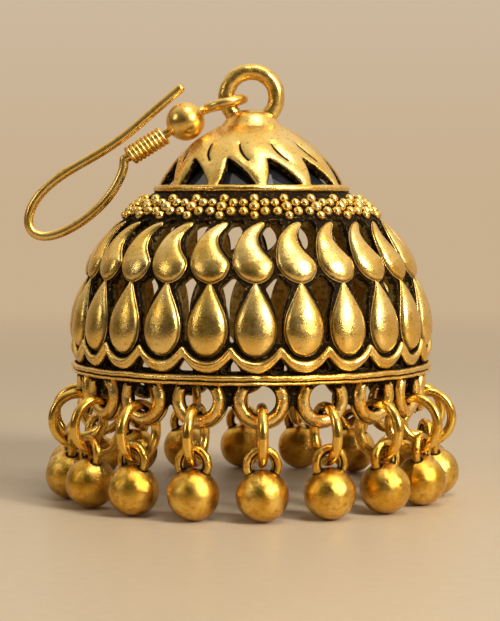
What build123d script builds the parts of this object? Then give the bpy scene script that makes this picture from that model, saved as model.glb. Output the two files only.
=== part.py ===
"""A jhumka earring: a pierced cast bell on eighteen ball drops, with its French ear hook.

Millimetres, +Z up. The origin is on the bell's axis, on the surface that the drops stand on.
Azimuths are in degrees round the axis from the front, which is -Y, and grow towards +X.
"""

from build123d import *
import os
from math import cos, radians, sin, sqrt

# ---- driving dimensions -------------------------------------------------------------------
# bell: a ball-shaped wall about a centre on the axis
bell_centre_z = 12.7
wall_r = 13.85
wall_t = 0.8
relief_h = 0.62  # how far the puffed motifs stand out of the wall
ceiling_z = 23.7  # flat underside of the plate that closes the bell

motif_count = 24  # paisleys, teardrops, crescents and flowers
motif_phase = 1.3

rim_bottom_z = 9.92
rim_top_z = 10.77
rim_r = 14.2
rim_bead_r = 0.2

# crown: a cone-like cap of flame leaves over the inlay
leaf_count = 12
leaf_opening_phase = -8.8
crown_rim_r = 7.45
crown_rim_wire_r = 0.3
crown_shoulder = (5.55, 27.2)
crown_neck = (2.4, 29.6)
crown_slope = 34.8  # rise of the crown's normal at the leaf tips
plate_top_z = 24.3
post_r = 1.2  # the post that holds the crown, headed under the plate
post_head_r = 2.2
post_head_t = 0.6
crown_gap = 0.1  # between the crown and the bell
# hollow of the crown, round its post
crown_chamber = [
    # x, z
    (7.00, plate_top_z),
    (5.14, 26.91),
    (3.30, 28.30),
    (post_r, 28.70),
]

# inlay: faceted, a little clear of the chamber
inlay_gap = 0.12
inlay_sides = 24
inlay_tiers = [
    # radius at the corners, height
    (6.85, plate_top_z + inlay_gap),
    (4.77, 26.79),
    (3.08, 28.18),
]

# top ring
ring_centre_z = 31.79
ring_mid_r = 2.0
ring_section_r = 0.66
ring_section_depth = 0.8
ring_foot = [
    # x, z
    (3.00, 28.90),
    (2.05, 29.90),
    (1.70, 30.35),
]

# drops
drop_count = 18
drop_phase = 3.1
loop_circle_r = 13.45
loop_mid_r = 1.6
loop_band_r = 0.5
loop_band_sides = 8
loop_centre_z = 8.82
jump_circle_r = 14.03
jump_centre_z = 6.31
jump_mid_r = 2.02
jump_wire_r = 0.38
ball_circle_r = 14.7
ball_r = 1.93
bail_mid_r = 1.06
bail_wire_r = 0.345
bail_centre_z = 4.21

# ear hook, in the plane y = 0
hook_wire_r = 0.38
bead_centre = (-5.28, 29.84)
bead_r = 1.55
shank_slope = 32  # degrees that the shank falls to the left
eye_wire_r = 0.35
eye_mid_r = 1.55
eye_tilt = 14  # degrees that the eye's plane falls to the left
eye_reach = 1.95  # from the bead's centre to the back of the eye
coil_length = 3.6
coil_wire_r = 0.19
bore_gap = 0.04
lead_out = 0.35  # straight wire between the coil and the first bend
first_bend_r = 0.6
# corners of the bent wire after that bend
bent_wire = [
    # x, z, bend radius
    (-10.30, 24.25, 3.0),
    (-13.52, 20.97, 5.0),
    (-16.82, 19.52, 1.3),
    (-18.22, 21.92, 1.7),
    (-15.22, 25.12, 6.0),
    (-9.95, 28.65, 7.0),
]
tail_end = (-5.60, 32.35)

os.makedirs("parts", exist_ok=True)


# ---- helpers ------------------------------------------------------------------------------
def outward(azimuth, rise):
    """Unit vector that points away from the axis at an azimuth, lifted by a rise in degrees."""
    a, e = radians(azimuth), radians(rise)
    return Vector(cos(e) * sin(a), -cos(e) * cos(a), sin(e))


def plane_on_bell(azimuth, elevation, radius=wall_r):
    """Plane that touches the bell's ball: x runs round to the right, y up the meridian."""
    normal = outward(azimuth, elevation)
    return Plane(
        origin=Vector(0, 0, bell_centre_z) + normal * radius,
        x_dir=Vector(cos(radians(azimuth)), sin(radians(azimuth)), 0),
        z_dir=normal,
    )


def plane_on_cone(azimuth, r, z, rise):
    """Plane at radius r and height z, with its normal lifted by a rise in degrees."""
    a = radians(azimuth)
    return Plane(
        origin=(r * sin(a), -r * cos(a), z),
        x_dir=(cos(a), sin(a), 0),
        z_dir=outward(azimuth, rise),
    )


def radial_plane(azimuth, r, z):
    """Upright plane through the axis: x runs outward, y up."""
    a = radians(azimuth)
    return Plane(
        origin=(r * sin(a), -r * cos(a), z),
        x_dir=(sin(a), -cos(a), 0),
        z_dir=(-cos(a), -sin(a), 0),
    )


# ---- motifs, each built once at the front -------------------------------------------------
# teardrop: half width of the outline at heights up its middle
teardrop_outline = [
    # height, half width
    (2.62, 0.02),
    (1.75, 0.52),
    (0.80, 1.05),
    (0.00, 1.38),
    (-0.80, 1.50),
    (-1.60, 1.30),
    (-2.20, 0.86),
    (-2.58, 0.02),
]
teardrop_rise = 9.0
teardrop_half_width = max(half_width for _, half_width in teardrop_outline)


def barrel_sink(half_width):
    """Depth of a barrel's axis under the wall, so that it stands out by relief_h at that half width."""
    return (half_width**2 - relief_h**2) / (2 * relief_h)


teardrop_sink = barrel_sink(teardrop_half_width)
teardrop_plane = plane_on_bell(motif_phase, teardrop_rise, wall_r - teardrop_sink)

with BuildPart() as teardrop:
    with BuildSketch(teardrop_plane):
        with BuildLine():
            side = [
                (sqrt(w**2 + (teardrop_sink - h**2 / (2 * wall_r)) ** 2), h) for h, w in teardrop_outline
            ]
            Polyline(*side, (0, side[-1][1]), (0, side[0][1]), close=True)
        make_face()
    revolve(axis=Axis(teardrop_plane.origin, teardrop_plane.y_dir))

# paisley: a puffed drop whose tail sweeps up to the right
paisley_rise = 30.5
paisley_half_width = 1.55
paisley_lean = 10  # degrees that the puffed ridge leans to the right
paisley_ridge = [
    # height, drop of the ridge under its crest
    (3.20, 0.75),
    (1.70, 0.27),
    (0.40, 0.07),
    (-0.70, 0.00),
    (-1.60, 0.06),
    (-2.30, 0.25),
    (-3.00, 0.62),
]
paisley_sink = barrel_sink(paisley_half_width)
paisley_plane = plane_on_bell(motif_phase, paisley_rise)
paisley_spine = paisley_plane.offset(-paisley_sink).rotated((0, 0, -paisley_lean))

with BuildPart() as paisley:
    with BuildSketch(paisley_plane.offset(-wall_t / 2)):
        with BuildLine():
            ThreePointArc((0.80, 2.62), (-0.95, 1.58), (-1.68, 0.00))
            ThreePointArc((-1.68, 0.00), (-1.62, -1.45), (-0.80, -2.28))
            ThreePointArc((-0.80, -2.28), (0.10, -2.50), (0.95, -2.22))
            ThreePointArc((0.95, -2.22), (1.47, -1.45), (1.25, -0.70))
            ThreePointArc((1.25, -0.70), (0.30, 0.55), (0.32, 1.75))
            Line((0.32, 1.75), (0.80, 2.62))
        make_face()
    extrude(amount=wall_t / 2 + 2 * relief_h)
    with BuildSketch(paisley_spine):
        with BuildLine():
            ridge = [(paisley_sink + relief_h - drop, height) for height, drop in paisley_ridge]
            Polyline(*ridge, (0, ridge[-1][1]), (0, ridge[0][1]), close=True)
        make_face()
    revolve(axis=Axis(paisley_spine.origin, paisley_spine.y_dir), mode=Mode.INTERSECT)

# crescent: two steps of a hanging swag between cusps
crescent_rise = -2.0
crescent_plane = plane_on_bell(motif_phase, crescent_rise)
crescent_steps = [
    # half width, cusp height, lowest point of the outer edge, thickness of the band, height
    (2.05, 0.38, -1.18, 0.56, 0.40),
    (2.02, 0.62, -0.95, 0.30, 0.62),
]

with BuildPart() as crescent:
    for half_w, cusp, low, band, height in crescent_steps:
        with BuildSketch(crescent_plane.offset(-wall_t / 2)):
            with BuildLine():
                ThreePointArc((-half_w, cusp), (0, low), (half_w, cusp))
                Line((half_w, cusp), (half_w, cusp + band))
                ThreePointArc((half_w, cusp + band), (0, low + band), (-half_w, cusp + band))
                Line((-half_w, cusp + band), (-half_w, cusp))
            make_face()
        extrude(amount=wall_t / 2 + height)

# flower: a granule with six round it, each a blunt spike sunk a little into the ground
granule_base_r = 0.36
granule_sides = 6
granule_taper = 16
granule_height = 0.64
granule_sink = 0.14
flower_rise = 47.7
flower_side = 0.77
flower_step = 0.46

with BuildPart() as flower:
    with BuildSketch(plane_on_bell(motif_phase, flower_rise, wall_r - granule_sink)):
        places = [(0, 0), (0, 2 * flower_step), (0, -2 * flower_step)]
        places += [(x, y) for x in (-flower_side, flower_side) for y in (-flower_step, flower_step)]
        with Locations(*places):
            RegularPolygon(granule_base_r, granule_sides)
    extrude(amount=granule_height, taper=granule_taper)

# loop: a ring of faceted band that hangs under the rim and faces outward
loop_plane = radial_plane(0, loop_circle_r, loop_centre_z)

with BuildPart() as loop:
    with BuildSketch(loop_plane):
        with Locations((0, -loop_mid_r)):
            RegularPolygon(loop_band_r, loop_band_sides, rotation=180 / loop_band_sides)
    revolve(axis=Axis(loop_plane.origin, loop_plane.x_dir))

# ---- openings, each built once ------------------------------------------------------------
through = 2 * wall_t
between = motif_phase + 180 / motif_count

with BuildPart() as paisley_gap:
    with BuildSketch(plane_on_bell(between, paisley_rise).offset(-through)):
        with BuildLine():
            Line((-0.62, 2.78), (0.78, 2.78))
            ThreePointArc((0.78, 2.78), (0.34, 1.10), (0.02, -0.62))
            ThreePointArc((0.02, -0.62), (-0.98, 0.62), (-0.62, 2.78))
        make_face()
    extrude(amount=2 * through)

with BuildPart() as teardrop_gap:
    with BuildSketch(plane_on_bell(between, teardrop_rise).offset(-through)):
        with BuildLine():
            Line((0, 3.38), (1.02, 2.30))
            ThreePointArc((1.02, 2.30), (0.34, 0.50), (0.20, -1.50))
            ThreePointArc((0.20, -1.50), (0, -1.80), (-0.20, -1.50))
            ThreePointArc((-0.20, -1.50), (-0.34, 0.50), (-1.02, 2.30))
            Line((-1.02, 2.30), (0, 3.38))
        make_face()
    extrude(amount=2 * through)

cusp_rise = -4.0

with BuildPart() as cusp_gap:
    with BuildSketch(plane_on_bell(between, cusp_rise).offset(-through)):
        with BuildLine():
            Polyline((0, 0.22), (0.72, -0.80), (-0.72, -0.80), close=True)
        make_face()
    extrude(amount=2 * through)

leaf_opening_plane = plane_on_cone(leaf_opening_phase, 6.7, 25.57, crown_slope)
leaf_opening_depth = 0.95

with BuildPart() as leaf_opening:
    with BuildSketch(leaf_opening_plane.offset(-leaf_opening_depth)):
        with BuildLine():
            ThreePointArc((-1.07, 1.14), (-1.10, 0.10), (-1.47, -0.98))
            Line((-1.47, -0.98), (1.46, -0.98))
            ThreePointArc((1.46, -0.98), (0.67, 0.12), (-1.07, 1.14))
        make_face()
    extrude(amount=2 * leaf_opening_depth)

# slit: a narrow curved groove above each leaf opening
slit_plane = plane_on_cone(leaf_opening_phase + 3, 5.5, 27.3, 43)
slit_depth = 0.2
slit_width = 0.2

with BuildPart() as leaf_slit:
    with BuildSketch(slit_plane.offset(-slit_depth)):
        with BuildLine(mode=Mode.PRIVATE) as slit_middle:
            ThreePointArc((-0.42, 0.95), (-0.22, 0.05), (0.42, -0.85))
        SlotArc(slit_middle.edges()[0], height=slit_width)
    extrude(amount=5 * slit_depth)

# ---- the cast bell ------------------------------------------------------------------------
with BuildPart() as dome:
    # wall, as a filled shape up to the crown
    with BuildSketch(Plane.XZ):
        with BuildLine():
            foot_x = sqrt(wall_r**2 - (bell_centre_z - rim_bottom_z) ** 2)
            top_x = sqrt(wall_r**2 - (plate_top_z - bell_centre_z) ** 2)
            ThreePointArc((foot_x, rim_bottom_z), (wall_r, bell_centre_z), (top_x, plate_top_z))
            Polyline((top_x, plate_top_z), (0, plate_top_z), (0, rim_bottom_z), (foot_x, rim_bottom_z))
        make_face()
    revolve(axis=Axis.Z)
    # rim band with a fine bead along its upper and its lower edge
    with BuildSketch(Plane.XZ):
        with Locations((rim_r / 2, (rim_bottom_z + rim_top_z) / 2)):
            Rectangle(rim_r, rim_top_z - rim_bottom_z)
        with Locations((rim_r, rim_top_z - rim_bead_r), (rim_r, rim_bottom_z + rim_bead_r)):
            Circle(rim_bead_r)
    revolve(axis=Axis.Z)
    # motifs
    with PolarLocations(0, motif_count):
        add(teardrop.part)
        add(paisley.part)
        add(crescent.part)
        add(flower.part)
    # hollow inside
    with BuildSketch(Plane.XZ):
        with BuildLine():
            inner_r = wall_r - wall_t
            low_x = sqrt(inner_r**2 - (bell_centre_z - rim_bottom_z) ** 2)
            high_x = sqrt(inner_r**2 - (ceiling_z - bell_centre_z) ** 2)
            ThreePointArc((low_x, rim_bottom_z), (inner_r, bell_centre_z), (high_x, ceiling_z))
            Polyline((high_x, ceiling_z), (0, ceiling_z), (0, 0), (low_x, 0), (low_x, rim_bottom_z))
        make_face()
    revolve(axis=Axis.Z, mode=Mode.SUBTRACT)
    # openings
    with PolarLocations(0, motif_count):
        add(paisley_gap.part, mode=Mode.SUBTRACT)
        add(teardrop_gap.part, mode=Mode.SUBTRACT)
        add(cusp_gap.part, mode=Mode.SUBTRACT)
    # hole for the crown's post
    with Locations((0, 0, plate_top_z)):
        Cylinder(post_r + crown_gap, 2 * (plate_top_z - ceiling_z), mode=Mode.SUBTRACT)
    # loops that hang from the rim
    with PolarLocations(0, drop_count, drop_phase):
        add(loop.part)

dome.part.label = "dome"
export_step(dome.part, "parts/dome.step")


# ---- crown: a hollow cap of leaves with the top ring, held by its post ----------------------
crown_rim_z = plate_top_z + crown_gap
head_top_z = ceiling_z - crown_gap

with BuildPart() as crown_cap:
    with BuildSketch(Plane.XZ):
        with BuildLine():
            ThreePointArc((crown_rim_r, crown_rim_z), crown_shoulder, crown_neck)
            Polyline(crown_neck, (0, crown_neck[1]), (0, crown_rim_z), (crown_rim_r, crown_rim_z))
        make_face()
        with BuildLine():
            Polyline(*crown_chamber, (post_r, plate_top_z), close=True)
        make_face(mode=Mode.SUBTRACT)
        # rim wire, flat below
        with Locations((crown_rim_r, crown_rim_z)):
            Circle(crown_rim_wire_r)
            Rectangle(
                2 * crown_rim_wire_r,
                crown_rim_wire_r,
                align=(Align.CENTER, Align.MAX),
                mode=Mode.SUBTRACT,
            )
        # post and its head
        with Locations((0, head_top_z - post_head_t)):
            Rectangle(post_r, crown_rim_z - head_top_z + post_head_t, align=Align.MIN)
            Rectangle(post_head_r, post_head_t, align=Align.MIN)
    revolve(axis=Axis.Z)
    with PolarLocations(0, leaf_count):
        add(leaf_opening.part, mode=Mode.SUBTRACT)
        add(leaf_slit.part, mode=Mode.SUBTRACT)
    # top ring on its foot
    with BuildSketch(Plane.XZ):
        with BuildLine():
            Polyline((0, ring_foot[0][1]), *ring_foot, (0, ring_foot[-1][1]), close=True)
        make_face()
    revolve(axis=Axis.Z)
    with BuildSketch(Plane((0, 0, ring_centre_z), x_dir=(0, 0, -1), z_dir=(1, 0, 0))):
        with Locations((ring_mid_r, 0)):
            Ellipse(ring_section_r, ring_section_depth)
    revolve(axis=Axis((0, 0, ring_centre_z), (0, 1, 0)))

crown_cap.part.label = "crown_cap"
export_step(crown_cap.part, "parts/crown_cap.step")


# ---- inlay: a faceted black piece under the leaves, with a table and a hole for the post ---
inlay_height = inlay_tiers[-1][1] - inlay_tiers[0][1]

with BuildPart() as black_inlay:
    for (low_r, low_z), (high_r, high_z) in zip(inlay_tiers, inlay_tiers[1:]):
        with BuildSketch(Plane.XY.offset(low_z)):
            RegularPolygon(low_r, inlay_sides)
        with BuildSketch(Plane.XY.offset(high_z)):
            RegularPolygon(high_r, inlay_sides)
        loft(ruled=True)
    with Locations((0, 0, inlay_tiers[0][1] + inlay_height / 2)):
        Cylinder(post_r + inlay_gap, 2 * inlay_height, mode=Mode.SUBTRACT)

black_inlay.part.label = "black_inlay"
export_step(black_inlay.part, "parts/black_inlay.step")


# ---- jump rings and ball drops ------------------------------------------------------------
with BuildPart(radial_plane(0, jump_circle_r, jump_centre_z)) as front_ring:
    Torus(jump_mid_r, jump_wire_r)

with BuildPart() as front_drop:
    with Locations((0, -ball_circle_r, ball_r)):
        Sphere(ball_r, rotation=(0, 0, 90))
    # the bail, a ring whose lower part is sunk in the ball
    with BuildSketch(Plane.XY.offset(bail_centre_z)):
        with Locations((bail_mid_r, -ball_circle_r)):
            Circle(bail_wire_r)
    revolve(axis=Axis((0, -ball_circle_r, bail_centre_z), (0, 1, 0)))

for number in range(1, drop_count + 1):
    turn = Location((0, 0, 0), (0, 0, drop_phase + (number - 1) * 360 / drop_count))

    with BuildPart() as jump_ring:
        with Locations(turn):
            add(front_ring.part)
    jump_ring.part.label = f"jump_ring_{number:02d}"
    export_step(jump_ring.part, f"parts/jump_ring_{number:02d}.step")

    with BuildPart() as ball_drop:
        with Locations(turn):
            add(front_drop.part)
    ball_drop.part.label = f"ball_drop_{number:02d}"
    export_step(ball_drop.part, f"parts/ball_drop_{number:02d}.step")


# ---- ear hook -----------------------------------------------------------------------------
slope = radians(shank_slope)
shank_dir = Vector(-cos(slope), 0, -sin(slope))
bead_middle = Vector(bead_centre[0], 0, bead_centre[1])
coil_start = bead_middle + shank_dir * bead_r
coil_end = coil_start + shank_dir * coil_length
eye_back = bead_middle - shank_dir * eye_reach
eye_lean = radians(eye_tilt)
eye_right = Vector(cos(eye_lean), 0, sin(eye_lean))
eye_middle = eye_back + eye_right * eye_mid_r

corners = [(x, z) for x, z, _ in bent_wire]
bends = [bend for _, _, bend in bent_wire]
first_corner = coil_end + shank_dir * lead_out

with BuildPart() as ear_hook:
    # eye: a ring of wire round the top ring's limb
    with BuildSketch(Plane(origin=eye_middle, x_dir=eye_right, z_dir=(0, -1, 0))):
        with Locations((eye_mid_r, 0)):
            Circle(eye_wire_r)
    revolve(axis=Axis(eye_middle, (-sin(eye_lean), 0, cos(eye_lean))))
    # shank, bent leg and tail in one wire
    with BuildLine(Plane.XZ) as hook_path:
        FilletPolyline(
            (eye_back.X, eye_back.Z),
            (first_corner.X, first_corner.Z),
            *corners,
            tail_end,
            radius=[first_bend_r] + bends,
        )
    with BuildSketch(Plane(origin=hook_path.line @ 0, z_dir=hook_path.line % 0)):
        Circle(hook_wire_r)
    sweep(path=hook_path.line)
    with Locations(hook_path.line @ 1):
        Sphere(hook_wire_r)

ear_hook.part.label = "ear_hook"
export_step(ear_hook.part, "parts/ear_hook.step")

shank_plane = Plane(origin=bead_middle, x_dir=(0, 1, 0), z_dir=shank_dir)
bore_r = hook_wire_r + bore_gap

with BuildPart(shank_plane) as hook_bead:
    Sphere(bead_r)
    Hole(bore_r)

hook_bead.part.label = "hook_bead"
export_step(hook_bead.part, "parts/hook_bead.step")

coil_plane = Plane(origin=coil_start, x_dir=(0, 1, 0), z_dir=shank_dir)
coil_mid_r = bore_r + coil_wire_r
coil_turns = int(coil_length / (2 * coil_wire_r))
coil_pitch = coil_length / coil_turns

with BuildPart(coil_plane) as hook_coil:
    Cylinder(coil_mid_r, coil_length, align=(Align.CENTER, Align.CENTER, Align.MIN))
    with Locations(*[(0, 0, (i + 0.5) * coil_pitch) for i in range(coil_turns)]):
        Torus(coil_mid_r, coil_wire_r)
    Hole(bore_r)

hook_coil.part.label = "hook_coil"
export_step(hook_coil.part, "parts/hook_coil.step")
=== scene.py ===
"""The looks of a jhumka earring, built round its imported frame. +Z up, -Y the front."""

from math import atan2, cos, pi, radians, sin, sqrt, tan

import bmesh
import bpy
import numpy as np
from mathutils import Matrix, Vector
from mathutils.geometry import delaunay_2d_cdt


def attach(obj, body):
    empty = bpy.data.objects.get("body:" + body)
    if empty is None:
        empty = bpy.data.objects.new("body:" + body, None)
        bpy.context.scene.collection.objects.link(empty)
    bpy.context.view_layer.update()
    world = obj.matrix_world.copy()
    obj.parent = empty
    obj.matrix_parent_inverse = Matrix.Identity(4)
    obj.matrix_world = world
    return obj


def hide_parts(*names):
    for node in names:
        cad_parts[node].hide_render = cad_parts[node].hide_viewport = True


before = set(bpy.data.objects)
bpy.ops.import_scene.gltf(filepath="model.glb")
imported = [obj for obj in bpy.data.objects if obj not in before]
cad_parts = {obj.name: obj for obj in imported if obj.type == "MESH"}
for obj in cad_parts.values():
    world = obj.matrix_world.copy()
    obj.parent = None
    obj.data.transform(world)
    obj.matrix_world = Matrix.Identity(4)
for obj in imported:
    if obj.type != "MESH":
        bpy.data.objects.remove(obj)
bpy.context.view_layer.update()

MM = 0.001

# ---- sizes, in millimetres ----------------------------------------------------------------
bell_z = 12.7
wall_r = 13.85
wall_t = 0.8
motif_count = 24
motif_phase = 1.3
sector = 360 / motif_count
paisley_rise = 30.5  # how far each band's middle is lifted from the bell's middle, in degrees
teardrop_rise = 9.0
crescent_rise = -2.0
cusp_rise = -4.0
flower_rise = 47.7
plate_z = 24.3  # top of the plate that closes the bell
ceiling_z = 23.7  # and its underside
drop_count = 18
drop_phase = 3.1
loop_circle_r = 13.45
loop_z = 8.82
leaf_count = 12
leaf_phase = -8.8
crown_z = 24.4
crown_r = 7.45
crown_t = 0.46
ring_z = 31.79
ring_r = 2.0
wire_r = 0.38


# ---- materials ----------------------------------------------------------------------------
class Shader:
    """A small helper that adds nodes to a material and links them by socket name."""

    def __init__(self, name):
        self.material = bpy.data.materials.new(name)
        self.material.use_nodes = True
        self.tree = self.material.node_tree
        self.surface = self.tree.nodes["Principled BSDF"]

    def node(self, kind, inputs=None, **settings):
        made = self.tree.nodes.new(kind)
        for key, value in settings.items():
            setattr(made, key, value)
        for key, value in (inputs or {}).items():
            if isinstance(value, bpy.types.NodeSocket):
                self.tree.links.new(value, made.inputs[key])
            else:
                made.inputs[key].default_value = value
        return made

    def plug(self, socket, name):
        self.tree.links.new(socket, self.surface.inputs[name])

    def value_ramp(self, factor, low, high, out_low=0.0, out_high=1.0):
        made = self.node(
            "ShaderNodeMapRange",
            {"Value": factor, "From Min": low, "From Max": high, "To Min": out_low, "To Max": out_high},
        )
        return made.outputs["Result"]

    def noise(self, scale, detail=4.0, roughness=0.55, vector=None):
        inputs = {"Scale": scale, "Detail": detail, "Roughness": roughness}
        if vector is not None:
            inputs["Vector"] = vector
        return self.node("ShaderNodeTexNoise", inputs).outputs["Fac"]

    def math(self, operation, a, b=0.0):
        made = self.node("ShaderNodeMath", operation=operation)
        for slot, value in enumerate((a, b)):
            if isinstance(value, bpy.types.NodeSocket):
                self.tree.links.new(value, made.inputs[slot])
            else:
                made.inputs[slot].default_value = value
        return made.outputs["Value"]

    def mix(self, factor, a, b):
        made = self.node("ShaderNodeMix", data_type="RGBA")
        for slot, value in ((0, factor), (6, a), (7, b)):
            if isinstance(value, bpy.types.NodeSocket):
                self.tree.links.new(value, made.inputs[slot])
            else:
                made.inputs[slot].default_value = value if slot == 0 else (*value, 1)
        return made.outputs[2]


GOLD_LIGHT = (0.95, 0.69, 0.25)
GOLD = (0.88, 0.54, 0.10)
GOLD_DEEP = (0.56, 0.28, 0.03)
# the amber and ball golds are darker, more amber copies of the same gold: painted reflection of a dark, amber
# surround on the jump rings and balls
AMBER_GOLD_PAINTED_REFLECTION = (0.84, 0.48, 0.07)
AMBER_LIGHT_PAINTED_REFLECTION = (0.90, 0.61, 0.14)
BALL_GOLD_PAINTED_REFLECTION = (0.64, 0.335, 0.024)
PATINA_AND_SHADE = (0.012, 0.0055, 0.0012)


def gold(
    name,
    wear_and_shade_range=None,
    base=GOLD,
    light=GOLD_LIGHT,
    roughness=(0.16, 0.34),
    bump=0.00004,
    patina_noise=0.35,
    grain=0.0,
    pits=0.5,
    tarnish=(0.56, 0.74),
):
    """Antique gold plate. The attribute of wear and painted shade, 0 in a recess and 1 on a crest, drives the
    black patina; on the rim webs and the upper half of the loops' flanges it is painted shade.
    """
    s = Shader(name)
    place = s.node("ShaderNodeTexCoord").outputs["Object"]
    blotch = s.noise(420, 5, 0.6, place)
    fine = s.noise(2600, 4, 0.6, place)
    speckle = s.noise(5200, 3, 0.7, place)
    tone = s.mix(s.value_ramp(blotch, 0.36, 0.66), base, light)
    tone = s.mix(s.value_ramp(fine, *tarnish), tone, GOLD_DEEP)
    if wear_and_shade_range:
        wear_and_shade = s.node("ShaderNodeAttribute", attribute_name="wear_and_shade").outputs["Fac"]
        ragged = s.math("ADD", wear_and_shade, s.math("MULTIPLY", s.math("SUBTRACT", fine, 0.5), patina_noise))
        free_of_patina_and_shade = s.value_ramp(ragged, *wear_and_shade_range)
        free_of_patina_and_shade = s.math("MAXIMUM", free_of_patina_and_shade, s.value_ramp(speckle, 0.60, 0.72, 0.0, 0.55))
    else:
        free_of_patina_and_shade = s.value_ramp(s.noise(900, 6, 0.7, place), 0.28, 0.36)
    free_of_patina_and_shade = s.math("MULTIPLY", free_of_patina_and_shade, s.value_ramp(speckle, 0.22, 0.34, pits, 1.0))
    colour = s.mix(free_of_patina_and_shade, PATINA_AND_SHADE, tone)
    s.plug(colour, "Base Color")
    s.plug(s.value_ramp(free_of_patina_and_shade, 0.0, 0.5), "Metallic")
    rough = s.value_ramp(s.noise(1500, 5, 0.65, place), 0.3, 0.7, roughness[0], roughness[1])
    s.plug(s.math("ADD", rough, s.value_ramp(free_of_patina_and_shade, 0.0, 1.0, 0.40, 0.0)), "Roughness")
    s.surface.inputs["Specular IOR Level"].default_value = 0.06
    hills = s.math("MULTIPLY", s.noise(700, 3, 0.5, place), 0.6)
    hills = s.math("ADD", hills, s.math("MULTIPLY", fine, 0.16))
    if grain:
        hills = s.math("ADD", hills, s.math("MULTIPLY", s.noise(8200, 3, 0.6, place), grain))
    normal = s.node("ShaderNodeBump", {"Height": hills, "Strength": 0.55, "Distance": bump})
    s.plug(normal.outputs["Normal"], "Normal")
    return s.material


def black_inlay_material():
    s = Shader("black_enamel")
    place = s.node("ShaderNodeTexCoord").outputs["Object"]
    cloud = s.noise(500, 4, 0.6, place)
    black = s.mix(s.value_ramp(cloud, 0.35, 0.7), (0.006, 0.006, 0.007), (0.030, 0.030, 0.034))
    s.plug(black, "Base Color")
    s.plug(s.value_ramp(s.noise(1600, 4, 0.6, place), 0.3, 0.7, 0.05, 0.16), "Roughness")
    s.surface.inputs["Coat Weight"].default_value = 0.6
    s.surface.inputs["Coat Roughness"].default_value = 0.06
    return s.material


dome_gold = gold("antique_gold")
bell_gold = gold(
    "bell_gold",
    wear_and_shade_range=(0.30, 0.62),
    roughness=(0.19, 0.34),
    patina_noise=0.5,
    bump=0.00007,
    grain=0.5,
)
wire_gold = gold("polished_gold", roughness=(0.26, 0.36), bump=0.00001, pits=0.9)
# jump-ring gold: the amber copy of the gold, a painted reflection of an amber surround
ring_gold = gold(
    "ring_gold",
    base=AMBER_GOLD_PAINTED_REFLECTION,
    light=AMBER_LIGHT_PAINTED_REFLECTION,
    roughness=(0.15, 0.30),
    bump=0.00003,
    pits=0.6,
)
# ball gold: a darker amber copy of the gold, a painted reflection of a dark, amber surround
ball_gold = gold(
    "ball_gold",
    wear_and_shade_range=(0.25, 0.55),
    base=BALL_GOLD_PAINTED_REFLECTION,
    light=AMBER_LIGHT_PAINTED_REFLECTION,
    roughness=(0.10, 0.27),
    patina_noise=0.4,
    bump=0.00008,
    grain=0.9,
    pits=0.25,
    tarnish=(0.48, 0.68),
)
enamel = black_inlay_material()


# ---- mesh helpers, in millimetres -----------------------------------------------------------
BELL_CENTRE = np.array((0, 0, bell_z))


def outward(azimuth, rise):
    """Unit vector away from the axis at an azimuth from the front, lifted by a rise, in degrees."""
    a, e = radians(azimuth), radians(rise)
    return np.array((cos(e) * sin(a), -cos(e) * cos(a), sin(e)))


def frame_at(azimuth, rise):
    """Normal, right and up of a plane that faces outward."""
    normal = outward(azimuth, rise)
    right = np.array((cos(radians(azimuth)), sin(radians(azimuth)), 0))
    return normal, right, np.cross(normal, right)


def on_bell(flat, height, azimuth, rise):
    """Places at right and up distances from a spot of the bell, at a height over its wall."""
    normal, right, up = frame_at(azimuth, rise)
    u, v = np.asarray(flat, float).T
    away = np.outer(u, right) + np.outer(v, up) + np.outer(np.sqrt(wall_r**2 - u**2 - v**2), normal)
    return BELL_CENTRE + away / wall_r * (wall_r + np.broadcast_to(height, u.shape))[:, None]


def turned(points, angle):
    """Points turned round the axis by an angle in degrees."""
    a = radians(angle)
    x, y, z = np.asarray(points, float).T
    return np.column_stack((x * cos(a) - y * sin(a), x * sin(a) + y * cos(a), z))


def joined(meshes):
    """Several (points, faces, wear) as one."""
    points, faces, wear_and_shade, start = [], [], [], 0
    for p, f, w in meshes:
        points.append(p)
        faces += [tuple(k + start for k in face) for face in f]
        wear_and_shade.append(np.broadcast_to(np.asarray(w, float), (len(p),)))
        start += len(p)
    return np.vstack(points), faces, np.concatenate(wear_and_shade)


def around(mesh, count, first=0.0):
    """Copies of a mesh turned round the axis, as one mesh."""
    points, faces, wear_and_shade = mesh
    return joined([(turned(points, first + i * 360 / count), faces, wear_and_shade) for i in range(count)])


def circle3(a, b, c):
    """Centre and radius of the circle through three points."""
    (ax, ay), (bx, by), (cx, cy) = a, b, c
    d = 2 * (ax * (by - cy) + bx * (cy - ay) + cx * (ay - by))
    ux = ((ax**2 + ay**2) * (by - cy) + (bx**2 + by**2) * (cy - ay) + (cx**2 + cy**2) * (ay - by)) / d
    uy = ((ax**2 + ay**2) * (cx - bx) + (bx**2 + by**2) * (ax - cx) + (cx**2 + cy**2) * (bx - ax)) / d
    return ux, uy, sqrt((ax - ux) ** 2 + (ay - uy) ** 2)


def arc3(a, b, c, count=9):
    """Points on the arc through three points."""
    ux, uy, r = circle3(a, b, c)
    t0, t1, t2 = (atan2(y - uy, x - ux) for x, y in (a, b, c))
    span = (t2 - t0) % (2 * pi)
    if (t1 - t0) % (2 * pi) > span:
        span -= 2 * pi
    turns = [t0 + span * i / (count - 1) for i in range(count)]
    return [(ux + r * cos(t), uy + r * sin(t)) for t in turns]


def eased(loop, rounds=2):
    """A closed outline with its corners cut again and again."""
    loop = np.asarray(loop, float)
    for _ in range(rounds):
        after = np.roll(loop, -1, axis=0)
        loop = np.stack((0.75 * loop + 0.25 * after, 0.25 * loop + 0.75 * after), axis=1).reshape(-1, 2)
    return loop


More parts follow.
